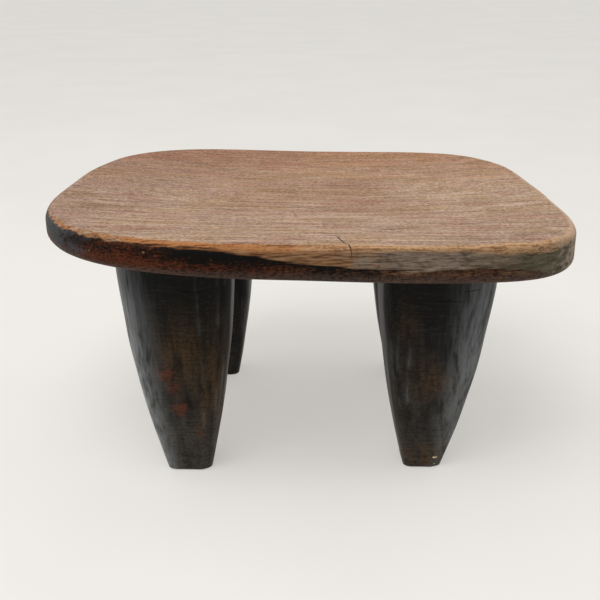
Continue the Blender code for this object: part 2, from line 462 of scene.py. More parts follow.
def seat_outline(sizes, turns):
    """Plan of the seat's edge at each turn, before it is centred."""
    across = np.cos(turns)
    along = np.sin(turns)
    front = np.where(across < 0.0, FRONT_LEFT_SQUARENESS, FRONT_RIGHT_SQUARENESS)
    back = np.where(across < 0.0, BACK_LEFT_SQUARENESS, BACK_RIGHT_SQUARENESS)
    across, along = squared_circle(across, along, np.where(along < 0.0, front, back))
    hollow = np.where(along > 0.0, BACK_HOLLOW, 0.0) * (1.0 - across ** 2) ** 2
    x = across * (sizes.seat_length / 2.0 - FRONT_GAIN * along) + BACK_SHIFT * along
    y = along * (sizes.seat_depth / 2.0 - hollow)
    return np.stack([x, y], axis=-1)


def seat_middle(sizes):
    """Middle of the box around the seat's plan: the stool's own origin lies there."""
    outline = seat_outline(sizes, full_turn(SEAT_SPOKES))
    return (outline.min(axis=0) + outline.max(axis=0)) / 2.0


def full_turn(count):
    """Evenly spaced angles round a full turn."""
    return np.arange(count) * 2.0 * math.pi / count


def raised(plan, height):
    """Ring of points over a plan, at one height or at a height for each point."""
    return np.append(plan, np.broadcast_to(height, len(plan))[:, None], axis=1)


def rim_height(sizes, x, y):
    """Height of the saddle that the rim follows, at plan points."""
    across = x / (sizes.seat_length / 2.0)
    along = y / (sizes.seat_depth / 2.0)
    saddle = (END_RISE + BACK_RISE * along) * across ** 2
    return sizes.seat_height + saddle - END_TILT * across - CORNER_TWIST * across * along


def underside_height(sizes, x, y):
    """Height of the seat's underside, at plan points."""
    across = x / (sizes.seat_length / 2.0)
    thickness = sizes.seat_thickness + THICKNESS_GAIN * across - END_THINNING * across ** 2
    return rim_height(sizes, x, y) - thickness


def leg_top(sizes, leg):
    """Plan of the leg's middle under the seat."""
    x = leg.side * (sizes.seat_length / 2.0 - leg.inset_x)
    y = leg.row * (sizes.seat_depth / 2.0 - leg.inset_y)
    return np.array([x, y])


def leg_foot(sizes, leg):
    """Plan of the leg's middle on the floor."""
    return leg_top(sizes, leg) - np.array([leg.side * leg.toe_in_x, leg.row * leg.toe_in_y])


def ripple(points, pitch, seed):
    """Smooth noise from -1 to 1 at each point, with bumps about one pitch across."""
    shift = Vector([step * seed for step in RIPPLE_SHIFT])
    flat = np.asarray(points).reshape(-1, 3) / pitch
    values = [noise.noise(Vector(point) + shift) for point in flat]
    return np.array(values).reshape(np.asarray(points).shape[:-1])


def bites(points, pitch, seed):
    """Scooped cells about one pitch across: 0 on their edges and 1 in their middles."""
    shift = Vector([step * seed for step in BITE_SHIFT])
    flat = np.asarray(points).reshape(-1, 3) / pitch
    values = [1.0 - min(1.0, noise.voronoi(Vector(point) + shift)[0][0] / BITE_REACH) for point in flat]
    return np.array(values).reshape(np.asarray(points).shape[:-1])


def ring_mesh(name, rings, first, last):
    """Closed mesh through rings of as many points, with a point to close each end."""
    count = len(rings[0])
    points = [tuple(first)]
    for ring in rings:
        points += [tuple(point) for point in ring]
    points.append(tuple(last))
    end = len(points) - 1
    follow = [(index + 1) % count for index in range(count)]
    faces = [(0, 1 + step, 1 + index) for index, step in enumerate(follow)]
    for ring in range(len(rings) - 1):
        here = 1 + ring * count
        there = here + count
        for index, step in enumerate(follow):
            faces.append((here + index, here + step, there + step, there + index))
    base = end - count
    faces += [(base + index, base + step, end) for index, step in enumerate(follow)]
    mesh = bpy.data.meshes.new(name)
    mesh.from_pydata(points, [], faces)
    return mesh


def add_piece(name, mesh, materials):
    """Object of the mesh, with its faces turned outwards and shaded smooth."""
    bm = bmesh.new()
    bm.from_mesh(mesh)
    bmesh.ops.recalc_face_normals(bm, faces=bm.faces[:])
    bm.to_mesh(mesh)
    bm.free()
    for material in materials:
        mesh.materials.append(material)
    mesh.shade_smooth()
    piece = bpy.data.objects.new(name, mesh)
    bpy.context.scene.collection.objects.link(piece)
    return piece


def paint(piece, points, layers):
    """Store each layer's values on the piece: a point takes those of the nearest of the points given."""
    tree = kdtree.KDTree(len(points))
    for index, point in enumerate(points):
        tree.insert(point, index)
    tree.balance()
    nearest = [tree.find(vertex.co)[1] for vertex in piece.data.vertices]
    for layer, values in layers.items():
        attribute = piece.data.attributes.new(layer, "FLOAT", "POINT")
        attribute.data.foreach_set("value", np.asarray(values, dtype=np.float32)[nearest])


def cut(piece, cutters):
    """Take the cutters out of the piece: what they bare gets their material, and creases turn sharp."""
    bpy.context.view_layer.objects.active = piece
    for cutter in cutters:
        step = piece.modifiers.new(cutter.name, "BOOLEAN")
        step.operation = "DIFFERENCE"
        step.solver = "EXACT"
        step.material_mode = "TRANSFER"
        step.object = cutter
        bpy.ops.object.modifier_apply(modifier=step.name)
        bpy.data.objects.remove(cutter, do_unlink=True)
    bm = bmesh.new()
    bm.from_mesh(piece.data)
    bmesh.ops.triangulate(bm, faces=[face for face in bm.faces if len(face.verts) > 4])
    bm.to_mesh(piece.data)
    bm.free()
    piece.data.set_sharp_from_angle(angle=CREASE_ANGLE)


def groove_cutter(piece, groove, material, seed):
    """Wedge that follows the groove's route along the face of the piece and fades out at both ends."""
    chance = random.Random(seed)
    route = [Vector(point) for point in groove.route]
    spots = []
    for start, end in zip(route, route[1:]):
        steps = max(2, round((end - start).length / GROOVE_STEP))
        spots += [start.lerp(end, step / steps) for step in range(steps)]
    spots.append(route[-1])
    sections = []
    for index, spot in enumerate(spots):
        _, place, normal, _ = piece.closest_point_on_mesh(spot)
        ahead = spots[min(index + 1, len(spots) - 1)] - spots[max(index - 1, 0)]
        aside = ahead.cross(normal).normalized()
        share = index / (len(spots) - 1)
        swell = max(GROOVE_END, math.sin(math.pi * share) ** GROOVE_FADE) * chance.uniform(*GROOVE_SPREAD)
        place = place + aside * chance.uniform(-GROOVE_WOBBLE, GROOVE_WOBBLE)
        half = aside * groove.width * swell / 2.0
        lift = normal * CUTTER_LIFT
        floor = place - normal * groove.depth * swell
        sections.append((place + half + lift, place - half + lift, floor))
    middle_first = sum(sections[0], Vector()) / 3.0
    middle_last = sum(sections[-1], Vector()) / 3.0
    mesh = ring_mesh("groove_cutter", sections, middle_first, middle_last)
    return add_piece("groove_cutter", mesh, [material])


def chip_cutter(piece, chip, material, seed):
    """Shallow flake with an uneven outline that bites into the face of the piece."""
    chance = random.Random(seed)
    _, place, normal, _ = piece.closest_point_on_mesh(Vector(chip.place))
    aside = Vector((0.0, 0.0, 1.0)).cross(normal).normalized()
    upward = normal.cross(aside)
    lift = normal * CUTTER_LIFT
    corners = []
    for turn in full_turn(CHIP_CORNERS):
        stretch = chance.uniform(*CHIP_SPREAD)
        reach = aside * math.cos(turn) * chip.width + upward * math.sin(turn) * chip.height
        corners.append(place + reach * stretch / 2.0)
    lifted = [corner + lift for corner in corners]
    sunk = []
    for corner in corners:
        sink = normal * chip.depth * chance.uniform(*CHIP_DEPTHS)
        sunk.append(place.lerp(corner, CHIP_FLOOR) - sink)
    mesh = ring_mesh("chip_cutter", [lifted, sunk], place + lift, place - normal * chip.depth)
    return add_piece("chip_cutter", mesh, [material])


def cutters_for(name, piece, crack, chip):
    """Cutters for all the cracks and chips of one piece."""
    cutters = []
    for seed, groove in enumerate(GROOVES):
        if groove.piece == name:
            cutters.append(groove_cutter(piece, groove, crack, seed))
    for seed, spot in enumerate(CHIPS):
        if spot.piece == name:
            cutters.append(chip_cutter(piece, spot, chip, seed))
    return cutters


def mortise_cutter(sizes, leg, material):
    """Cylinder that leaves the blind hole for the leg's tenon."""
    x, y = leg_top(sizes, leg) - seat_middle(sizes)
    top = underside_height(sizes, *leg_top(sizes, leg)) + MORTISE_DEPTH
    low = top - MORTISE_DEPTH - sizes.seat_thickness
    radius = TENON_DIAMETER / 2.0 + FIT_CLEARANCE
    turns = full_turn(JOINT_SIDES)
    circle = np.stack([x + radius * np.cos(turns), y + radius * np.sin(turns)], axis=-1)
    rings = [raised(circle, low), raised(circle, top)]
    mesh = ring_mesh("mortise_cutter", rings, (x, y, low), (x, y, top))
    return add_piece("mortise_cutter", mesh, [material])


def rim_roundings(sizes, outline, outward):
    """Radii of the rim's upper and lower edge round the seat, unevenly worn."""
    level = raised(outline, 0.0)
    crisp = np.interp(outline[:, 0], CRISP_RANGE, (0.0, CRISP_SHARE)) * np.clip(-outward[:, 1], 0.0, 1.0)
    upper_wear = 1.0 + ROUNDING_SPREAD * ripple(level, UPPER_ROUNDING_PITCH, UPPER_SEED)
    lower_wear = 1.0 + ROUNDING_SPREAD * ripple(level, LOWER_ROUNDING_PITCH, LOWER_SEED)
    return sizes.rim_rounding * (1.0 - crisp) * upper_wear, sizes.rim_rounding * lower_wear


def seat_rings(sizes):
    """Rings of points from the middle of the top, over the rim, to the middle of the underside.

    With them come how far each point lies below the start of the rim's rounding, along the surface, and
    the way outward at each point of the outline.
    """
    outline = seat_outline(sizes, full_turn(SEAT_SPOKES))
    along = np.roll(outline, -1, axis=0) - np.roll(outline, 1, axis=0)
    outward = np.stack([along[:, 1], -along[:, 0]], axis=-1)
    outward /= np.linalg.norm(along, axis=1, keepdims=True)
    upper, lower = rim_roundings(sizes, outline, outward)
    arc = np.linspace(0.0, math.pi / 2.0, ARC_ROWS + 1)[1:]
    rings = []
    drops = []

    # dished top
    inner = outline - outward * upper[:, None]
    for share in (np.arange(1, TOP_ROWS + 1) / TOP_ROWS) ** TOP_ROW_SPREAD:
        plan = inner * share
        dish = sizes.dish_depth * (1.0 - share ** 2)
        rings.append(raised(plan, rim_height(sizes, *plan.T) - dish))
        drops.append(-np.linalg.norm(inner, axis=1) * (1.0 - share))

    # upper rounding
    for turn in arc:
        plan = outline - outward * (upper * (1.0 - math.sin(turn)))[:, None]
        rings.append(raised(plan, rim_height(sizes, *plan.T) - upper * (1.0 - math.cos(turn))))
        drops.append(upper * turn)

    # upright side
    shoulder = rings[-1][:, 2]
    heel = underside_height(sizes, *outline.T) + lower
    for share in np.linspace(0.0, 1.0, SIDE_ROWS + 1)[1:]:
        rings.append(raised(outline, shoulder + (heel - shoulder) * share))
        drops.append(upper * math.pi / 2.0 + (shoulder - heel) * share)

    # lower rounding
    side_end = drops[-1]
    for turn in arc:
        plan = outline - outward * (lower * (1.0 - math.cos(turn)))[:, None]
        rings.append(raised(plan, underside_height(sizes, *plan.T) + lower * (1.0 - math.sin(turn))))
        drops.append(side_end + lower * turn)

    # underside
    under_start = drops[-1]
    inner = outline - outward * lower[:, None]
    for share in np.linspace(1.0, 0.0, UNDER_ROWS + 1)[1:-1]:
        plan = inner * share
        rings.append(raised(plan, underside_height(sizes, *plan.T)))
        drops.append(under_start + np.linalg.norm(inner, axis=1) * (1.0 - share))
    return np.array(rings), np.array(drops), outward


def worked_seat(sizes):
    """Rings of the seat with the waves of hand work, moved to the stool's own origin."""
    rings, drops, outward = seat_rings(sizes)
    side_end = TOP_ROWS + 2 * ARC_ROWS + SIDE_ROWS
    top = rings[:TOP_ROWS]
    fade = np.minimum(1.0, -drops[:TOP_ROWS] / TOP_WAVE_FADE)
    top[:, :, 2] += TOP_WAVE * ripple(top, TOP_WAVE_PITCH, TOP_SEED) * fade
    edge = rings[TOP_ROWS:side_end]
    waves = ripple(edge, SIDE_WAVE_PITCH, SIDE_SEED)
    fine_waves = ripple(edge, SIDE_WAVE_PITCH / FINE_WAVES, FINE_SEED)
    hollow = SIDE_WAVE * (waves + FINE_WAVE_SHARE * fine_waves)
    rows = np.arange(len(edge))
    fade = np.minimum(1.0, np.minimum(rows, rows[::-1]) / ARC_ROWS)
    edge[:, :, :2] += outward[None] * (hollow * fade[:, None])[:, :, None]
    under = rings[side_end:]
    under[:, :, 2] += ADZE_BITE * bites(under, ADZE_PITCH, ADZE_SEED)
    rings[:, :, :2] -= seat_middle(sizes)
    return rings, drops, outward


def seat_wear(rings, drops, outward):
    """Layers that say where the seat's edge is stained, bare or rubbed bright.

    drop is how many millimetres below the start of the rim's rounding a point lies, bare how many inside
    the bare wood and bright how many inside the polished strip. thin is how thin the stain is, below 0
    where it is thick, and facing how squarely the edge faces the front.
    """
    x = rings[:, :, 0] / MM
    drop = drops / MM
    toward = np.broadcast_to(-outward[:, 1], drop.shape)
    right = np.clip(toward + RIGHT_END_WEAR, 0.0, 1.0)
    left = np.clip(toward * LEFT_END_WEAR, 0.0, 1.0)
    front = np.where(x > 0.0, right, left)
    lines = (STAIN_LINE, STRIP_LINE, STRIP_START, STAIN_THINNESS)
    stain_line, strip, start, thin = [np.interp(x, *zip(*line)) for line in lines]
    stain_line = BACK_STAIN_LINE + (stain_line - BACK_STAIN_LINE) * front
    strip = BACK_STRIP_LINE + (strip - BACK_STRIP_LINE) * front
    layers = {
        "drop": drop,
        "bare": stain_line - drop,
        "bright": np.minimum(strip - drop, drop - start),
        "thin": thin + np.interp(drop, LOW_RANGE, (0.0, LOW_THINNESS)) * front,
        "facing": np.clip(toward, 0.0, 1.0) ** SLIVER_FADE,
    }
    return {name: values.ravel() for name, values in layers.items()}


def seat_figure(rings):
    """How strongly the grain swirls at each point: round two knots on the left and one on the right."""
    figure = np.zeros(rings.shape[:2])
    for x, y, reach in KNOTS:
        away = ((rings[:, :, 0] - x) / reach) ** 2 + ((rings[:, :, 1] - y) / (KNOT_FLATNESS * reach)) ** 2
        figure = np.maximum(figure, np.exp(-away))
    return figure.ravel()


def make_seat(sizes, colours):
    """The saddled slab, with its mortises, its cracks and its chips."""
    rings, drops, outward = worked_seat(sizes)
    first = rings[0].mean(axis=0)
    last = rings[-1].mean(axis=0)
    mesh = ring_mesh("seat_slab", rings, first, last)
    wood = worn_seat_wood(colours)
    crack = crack_dirt(colours)
    chip = chipped_wood("torn_old_hardwood", colours.old_chip, colours.stain_brown)
    seat = add_piece("seat_slab", mesh, [wood])
    cutters = [mortise_cutter(sizes, leg, crack) for leg in LEGS.values()]
    cut(seat, cutters + cutters_for("seat", seat, crack, chip))
    layers = seat_wear(rings, drops, outward)
    layers["figure"] = seat_figure(rings)
    paint(seat, rings.reshape(-1, 3), layers)
    return seat


def facet_section(sizes, leg, shares, turns):
    """Distance from the leg's middle line to its knife-cut face, and how near a facet's edge that is.

    The section is a polygon of flat cuts against a rounded square, one row for each share of the height.
    """
    chance = random.Random(leg.cuts)
    half_foot = leg.foot_width / 2.0
    half_top = sizes.leg_top_width / 2.0
    swell = sizes.leg_swell * 4.0 * shares * (1.0 - shares)
    half_width = half_foot + (half_top - half_foot) * shares + swell
    squareness = FOOT_SQUARENESS + (LEG_TOP_SQUARENESS - FOOT_SQUARENESS) * shares
    power = squareness / (squareness - 1.0)
    none = np.zeros_like(shares)
    heights = np.stack([shares * sizes.seat_height, none, none], axis=-1)
    nearness = []
    for index in range(4 * len(FACET_STEPS)):
        quarter, step = divmod(index, len(FACET_STEPS))
        sway = chance.uniform(-FACET_SWAY, FACET_SWAY)
        facing = math.radians(90.0 * quarter + FACET_STEPS[step] + sway)
        stretch = (abs(math.cos(facing)) ** power + abs(math.sin(facing)) ** power) ** (1.0 / power)
        wave = KNIFE_WAVE * ripple(heights, KNIFE_PITCH, leg.cuts + FACET_SEED_STEP * index)
        distance = half_width * stretch + wave
        nearness.append(np.maximum(np.cos(turns - facing)[None], 0.0) / distance[:, None])
    nearness = np.sort(np.array(nearness), axis=0)
    reach = 1.0 / (nearness ** FACET_SHARPNESS).sum(axis=0) ** (1.0 / FACET_SHARPNESS)
    gap = 1.0 / nearness[-2] - 1.0 / nearness[-1]
    return reach, np.exp(-gap / FACET_EDGE)


def leg_rings(sizes, leg):
    """Rings of the leg from its foot to its tenon's top, and how near a facet's edge each point is."""
    top = leg_top(sizes, leg)
    foot = leg_foot(sizes, leg)
    turns = full_turn(LEG_SIDES)
    heading = np.stack([np.cos(turns), np.sin(turns)], axis=-1)
    chamfer = FOOT_CHAMFER / sizes.seat_height
    shares = np.concatenate([[0.0], np.linspace(chamfer, 1.0, LEG_ROWS)])
    reach, edge = facet_section(sizes, leg, shares, turns)
    reach[0] -= FOOT_CHAMFER
    shoulder = underside_height(sizes, *(top + heading * reach[-1][:, None]).T) - FIT_CLEARANCE
    middle = foot + (top - foot) * shares[:, None]
    plan = middle[:, None] + heading[None] * reach[:, :, None]
    rings = np.append(plan, (shares[:, None] * shoulder[None])[:, :, None], axis=2)

    radius = TENON_DIAMETER / 2.0
    collar = top + heading * radius
    collar_height = underside_height(sizes, *collar.T) - FIT_CLEARANCE
    tenon_top = underside_height(sizes, *top) + MORTISE_DEPTH - FIT_CLEARANCE
    tenon = np.stack([raised(collar, collar_height), raised(collar, tenon_top)])
    rings = np.concatenate([rings, tenon])
    edge = np.concatenate([edge, np.zeros(tenon.shape[:2])])
    rings[:, :, :2] -= seat_middle(sizes)
    return rings, edge


def leg_wear(name, leg, rings):
    """How far the stain is worn at each point, from 0 to 1: red and brown patches, and the grey corner,
    which is rubbed stain and a painted sheen.
    """
    turns = full_turn(LEG_SIDES)
    outer = math.radians(-leg.rubbed if leg.side > 0 else 180.0 + leg.rubbed)
    away = np.angle(np.exp(1j * (turns - outer))) / math.radians(CORNER_SPREAD)
    heights = (0.0, CORNER_MIDDLE, rings[:, :, 2].max())
    corner_sheen_and_wear = np.interp(rings[:, :, 2], heights, leg.corner_sheen_and_wear)
    layers = {
        "red": np.zeros(rings.shape[:2]),
        "brown": np.zeros(rings.shape[:2]),
        # grey corner: rubbed stain and a painted sheen
        "corner": corner_sheen_and_wear * np.exp(-away ** 2)[None],
    }
    for patch in PATCHES:
        if patch.piece == name:
            away = (rings - np.array(patch.place)) / np.array([patch.width, patch.width, patch.height])
            worn = patch.strength * np.exp(-PATCH_FADE * (away ** 2).sum(axis=2))
            layers[patch.kind] = np.maximum(layers[patch.kind], worn)
    return {kind: values.ravel() for kind, values in layers.items()}


def make_leg(name, leg, sizes, materials):
    """One knife-cut leg with its tenon, cracks and chips."""
    wood, crack, chip = materials
    rings, edge = leg_rings(sizes, leg)
    first = rings[0].mean(axis=0)
    last = rings[-1].mean(axis=0)
    piece = add_piece(name + "_carved", ring_mesh(name + "_carved", rings, first, last), [wood])
    cut(piece, cutters_for(name, piece, crack, chip))
    layers = leg_wear(name, leg, rings)
    layers["edge"] = edge.ravel()
    paint(piece, rings.reshape(-1, 3), layers)
    return piece


def add_node(tree, kind, inputs=(), **settings):
    """Add a shader node. Each input takes a value, a node's first output or an output socket."""
    node = tree.nodes.new("ShaderNode" + kind)
    for name, value in settings.items():
        setattr(node, name, value)
    for socket, value in dict(inputs).items():
        if isinstance(value, bpy.types.Node):
            tree.links.new(value.outputs[0], node.inputs[socket])
        elif isinstance(value, bpy.types.NodeSocket):
            tree.links.new(value, node.inputs[socket])
        else:
            node.inputs[socket].default_value = value
    return node


def new_material(name):
    """Empty node material, its tree, its shader and the place of a point on the piece."""
    material = bpy.data.materials.new(name)
    material.use_nodes = True
    tree = material.node_tree
    place = add_node(tree, "TexCoord").outputs["Object"]
    return material, tree, tree.nodes["Principled BSDF"], place


def pattern(tree, place, name):
    """Noise from 0 to 1 whose blots are drawn out to the size that the table gives."""
    size, detail = PATTERNS[name]
    scale = tuple(1.0 / (side * MM) for side in size)
    spread = add_node(tree, "Mapping", {"Vector": place, "Scale": scale})
    settings = {"Vector": spread, "Scale": 1.0, "Detail": detail, "Roughness": PATTERN_ROUGHNESS}
    return add_node(tree, "TexNoise", settings)


def weighted_sum(tree, parts):
    """Sum of values, each times its weight."""
    total = 0.0
    for value, weight in parts:
        total = add_node(tree, "Math", {0: value, 1: weight, 2: total}, operation="MULTIPLY_ADD")
    return total


def lay_over(tree, base, over, value, low, high, most=1.0, blend="MIX"):
    """Lay a colour over the base where the value goes from low to high, by the share given at most."""
    reach = {"Value": value, "From Min": low, "From Max": high, "To Max": most}
    share = add_node(tree, "MapRange", reach, interpolation_type="SMOOTHSTEP")
    return add_node(tree, "MixRGB", {"Fac": share, "Color1": base, "Color2": over}, blend_type=blend)


def lay_torn(tree, base, over, depth, ragged, spread, soft):
    """Lay a colour inside a torn border: depth is millimetres inside it, and spread how torn it is."""
    torn = weighted_sum(tree, ((ragged, spread), (depth, 1.0)))
    return lay_over(tree, base, over, torn, spread / 2.0 - soft, spread / 2.0 + soft)


def kept_where(tree, mask, value, low, high, most=1.0):
    """Mask kept where the value goes from low to high, by the share given at most."""
    reach = {"Value": value, "From Min": low, "From Max": high, "To Max": most}
    share = add_node(tree, "MapRange", reach, interpolation_type="SMOOTHSTEP")
    return add_node(tree, "Math", {0: mask, 1: share}, operation="MULTIPLY")


def finish(tree, shader, color, rough, relief):
    """Give the shader its colour, its roughness and the relief of its grain."""
    bump = add_node(tree, "Bump", {"Height": relief, "Distance": RELIEF_DEPTH})
    for socket, node in (("Base Color", color), ("Roughness", rough), ("Normal", bump)):
        tree.links.new(node.outputs[0], shader.inputs[socket])


def wandering_grain(tree, spot, figure):
    """Place in the grain, which wanders a little everywhere and swirls round the knots."""
    swirl = pattern(tree, spot, "swirl").outputs["Color"]
    wander = add_node(tree, "VectorMath", {0: swirl, 1: NOISE_MIDDLE}, operation="SUBTRACT")
    amount = weighted_sum(tree, ((figure, KNOT_SWIRL), (GRAIN_WANDER, 1.0)))
    wander = add_node(tree, "VectorMath", {0: wander, "Scale": amount}, operation="SCALE")
    return add_node(tree, "VectorMath", {0: spot, 1: wander}, operation="ADD")


def worn_top(tree, colours, grain, worn, x, y):
    """Colour of the top: fibres in tinted zones, red behind, dull on the left, in front and in the dish."""
    fibres = ((grain.fibre, 1.5), (grain.streak, 0.6), (grain.line, 0.4), (grain.ring, 0.8))
    tone = weighted_sum(tree, fibres)
    curled = add_node(tree, "Math", {0: grain.streak, 1: worn["figure"]}, operation="MULTIPLY")
    tone = weighted_sum(tree, ((tone, 1.0), (curled, 1.2), (worn["figure"], -0.6)))
    top = lay_over(tree, colours.top_dark, colours.top_light, tone, 1.35, 1.95)
    top = lay_over(tree, top, colours.top_tan, grain.zone, 0.45, 0.62, 1.0, "MULTIPLY")
    top = lay_over(tree, top, colours.top_pink, grain.zone, 0.50, 0.35, 1.0, "MULTIPLY")
    redness = weighted_sum(tree, ((grain.ring, 0.25), (y, 1.0)))
    top = lay_over(tree, top, colours.top_red, redness, 0.12, 0.28, 0.75, "MULTIPLY")
    shade = weighted_sum(tree, ((x, -1.0), (y, 0.6)))
    top = lay_over(tree, top, colours.top_shade, shade, 0.02, 0.16, 1.0, "MULTIPLY")
    top = lay_over(tree, top, colours.top_dish, worn["drop"], -80.0, -150.0, 1.0, "MULTIPLY")
    top = lay_over(tree, top, colours.top_shade, y, -0.03, -0.08, 0.4, "MULTIPLY")
    top = lay_over(tree, top, colours.pore, grain.line, 0.36, 0.28, 0.45)
    return lay_over(tree, top, colours.pore, grain.pores, 0.60, 0.70, 0.35)


def weathered_edge(tree, colours, grain, along):
    """Colour of the bare edge: brown with tan lines on the left, grey and then olive on the right."""
    tone = weighted_sum(tree, ((grain.band, 0.8), (grain.speck, 0.35), (grain.mottle, 0.25)))
    grey = lay_over(tree, colours.band_dark, colours.band_wood, tone, 0.50, 0.90)
    olive = lay_over(tree, colours.olive_dark, colours.olive, tone, 0.50, 0.90)
    edge = lay_over(tree, grey, olive, along, 0.14, 0.20)
    edge = lay_over(tree, edge, grey, along, 0.205, 0.228, 0.9)
    edge = lay_over(tree, edge, colours.band_wood, along, 0.210, 0.230, 0.7)
    brown = lay_over(tree, colours.rim_brown, colours.rim_tan, grain.band, 0.42, 0.62, 0.55)
    brown = lay_over(tree, brown, colours.stain_brown, grain.band, 0.50, 0.36, 0.8)
    return lay_over(tree, edge, brown, along, 0.085, 0.050)


def polished_rim(tree, colours, grain, worn, along, top):
    """Colour of the rim: a tan strip with brown lines and slivers of stain, patchy at the far left."""
    polish = weighted_sum(tree, ((grain.line, 0.6), (grain.fibre, 0.4)))
    tan = lay_over(tree, colours.rim_brown, colours.rim_tan, polish, 0.38, 0.56)
    sliver = kept_where(tree, worn["facing"], along, 0.12, 0.04)
    sliver = kept_where(tree, sliver, grain.ragged, 0.54, 0.66, 0.8)
    tan = add_node(tree, "MixRGB", {"Fac": sliver, "Color1": tan, "Color2": colours.stain_brown})
    tan = lay_over(tree, tan, colours.top_light, along, 0.19, 0.225, 0.6)
    tan = lay_over(tree, tan, colours.rim_shade, along, 0.075, 0.0, 1.0, "MULTIPLY")
    patchy = kept_where(tree, grain.mottle, along, -0.05, -0.09)
    return lay_over(tree, tan, top, patchy, 0.42, 0.56, 0.8)


def old_stain(tree, colours, grain, worn, along):
    """Colour of the old stain: where it is thin, red on the left and brown on the right.

    It is rubbed thin where the edge turns under, lighter on the lower rounding as worn stain and painted
    floor bounce, painted with a grey sheen at the far left, and broken by flakes and black specks.
    """
    warm = lay_over(tree, colours.stain_red, colours.stain_brown, along, 0.0, 0.06)
    patchy = ((grain.mottle, 0.8), (grain.speck, 0.9), (grain.fibre, 0.8), (grain.band, 0.7))
    thin = weighted_sum(tree, ((worn["thin"], 1.0), *patchy))
    stain = lay_over(tree, colours.stain, warm, thin, 1.55, 2.30)
    stain = lay_over(tree, stain, colours.rim_brown, grain.speck, 0.66, 0.78, 0.5)
    # painted grey sheen on the far left end of the edge
    stain = lay_over(tree, stain, colours.grey_wear_and_sheen, along, -0.105, -0.140, 0.22)
    flakes = kept_where(tree, grain.ragged, along, 0.03, 0.09)
    stain = lay_over(tree, stain, colours.rim_brown, flakes, 0.53, 0.64, 0.75)
    # lighter on the lower rounding: stain rubbed thin, and painted floor bounce
    stain = lay_over(tree, stain, colours.lower_edge_wear_and_bounce, worn["drop"], 20.0, 26.0, 0.65)
    return lay_over(tree, stain, colours.stain, grain.fibre, 0.54, 0.38, 0.6)


def worn_seat_wood(colours):
    """Open-grained hardwood, carved with an adze, smoked black and then worn bare by sitting.

    The eye sees fine dull fibres along the seat, tan polish on the rim and old stain left on the edge.
    """
    material, tree, shader, place = new_material("worn_open_grain_hardwood")
    x, y, _ = add_node(tree, "SeparateXYZ", {"Vector": place}).outputs
    worn = {name: add_node(tree, "Attribute", attribute_name=name).outputs["Fac"] for name in SEAT_LAYERS}
    wandering = wandering_grain(tree, place, worn["figure"])
    grain = SimpleNamespace(
        **{name: pattern(tree, wandering, name) for name in TOP_GRAIN},
        **{name: pattern(tree, place, name) for name in EDGE_GRAIN},
    )
    along = weighted_sum(tree, ((grain.mottle, 0.08), (x, 1.0)))
    below = weighted_sum(tree, ((worn["drop"], 1.0), (-RIM_BAND, 1.0)))

    top = worn_top(tree, colours, grain, worn, x, y)
    edge = weathered_edge(tree, colours, grain, along)
    rim = polished_rim(tree, colours, grain, worn, along, top)
    stain = old_stain(tree, colours, grain, worn, along)
    wood = lay_torn(tree, top, edge, below, grain.ragged, spread=4.0, soft=0.8)
    wood = lay_torn(tree, wood, rim, worn["bright"], grain.ragged, spread=8.0, soft=1.4)
    color = lay_torn(tree, stain, wood, worn["bare"], grain.ragged, spread=9.0, soft=0.9)

    relief = weighted_sum(tree, ((grain.fibre, 1.0), (grain.streak, 0.5), (grain.pores, -0.8)))
    rough = weighted_sum(tree, ((grain.fibre, -GRAIN_POLISH), (SEAT_ROUGHNESS, 1.0)))
    finish(tree, shader, color, rough, relief)
    shader.inputs["IOR"].default_value = SEAT_IOR
    shader.inputs["Specular IOR Level"].default_value = SEAT_GLOSS
    return material


